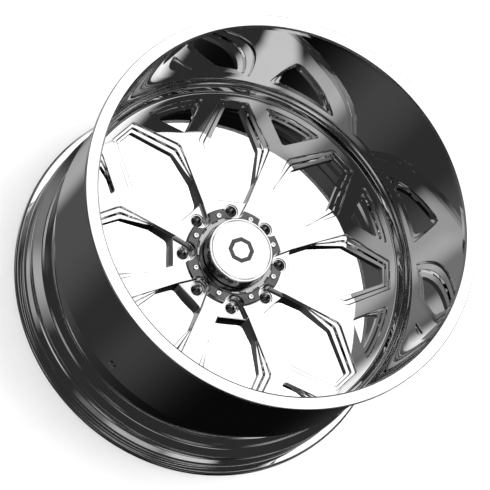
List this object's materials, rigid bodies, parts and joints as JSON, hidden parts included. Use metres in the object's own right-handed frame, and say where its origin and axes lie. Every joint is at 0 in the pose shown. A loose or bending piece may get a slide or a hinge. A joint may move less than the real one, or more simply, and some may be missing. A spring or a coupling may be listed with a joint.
{
  "type": "wheel",
  "caption": "Deep-dish forged alloy wheel with Y-shaped spokes, stepped window edges, recessed lug seats, a screwed-on raised centre cap and a clamp-in tyre valve.",
  "frame": {"origin": "middle of the rim's overall width, on the axle line", "axes": "+Z along the axle line, outboard; the wheel lies on its inboard flange; +X and +Y each point through a lug hole and a spoke window, and the valve is on the -Y side"},
  "size_m": [0.7, 0.7, 0.43],
  "materials": {
    "polished_aluminium": "mirror polished",
    "weld": "blended weld",
    "dark_anodised": "gloss dark anodised",
    "plated_steel": "bright plated",
    "brass": "turned",
    "rubber": "matte"
  },
  "bodies": {
    "wheel": {"barrel": "polished_aluminium", "centre_disc": "polished_aluminium", "cap_face": "polished_aluminium", "front_weld_bead": "weld", "rear_weld_bead": "weld", "cap_base_ring": "dark_anodised", "cap_housing": "dark_anodised", "cap_emblem": "dark_anodised", "valve_stem": "dark_anodised", "valve_nut": "dark_anodised", "cap_screw_1": "plated_steel", "cap_screw_2": "plated_steel", "cap_screw_3": "plated_steel", "cap_screw_4": "plated_steel", "cap_screw_5": "plated_steel", "cap_screw_6": "plated_steel", "cap_screw_7": "plated_steel", "cap_screw_8": "plated_steel", "valve_core_spring": "plated_steel", "valve_core_body": "brass", "cap_o_ring": "rubber", "valve_inner_grommet": "rubber", "valve_outer_grommet": "rubber"},
    "valve_pin": {"valve_core_pin": "brass", "valve_core_seal": "rubber"},
    "valve_cap": {"valve_cap": "dark_anodised", "valve_cap_seal": "rubber"}
  },
  "joints": [
    {"name": "valve_pin_press", "type": "slide", "parent": "wheel", "child": "valve_pin", "axis": [0, -1, 0], "range_m": [0, 0.0012], "stiffness_N_per_m": 400, "springref_m": -0.001, "deforming": ["valve_core_spring"]},
    {"name": "valve_cap_off", "type": "slide", "parent": "wheel", "child": "valve_cap", "axis": [0, 1, 0], "range_m": [0, 0.014]}
  ]
}
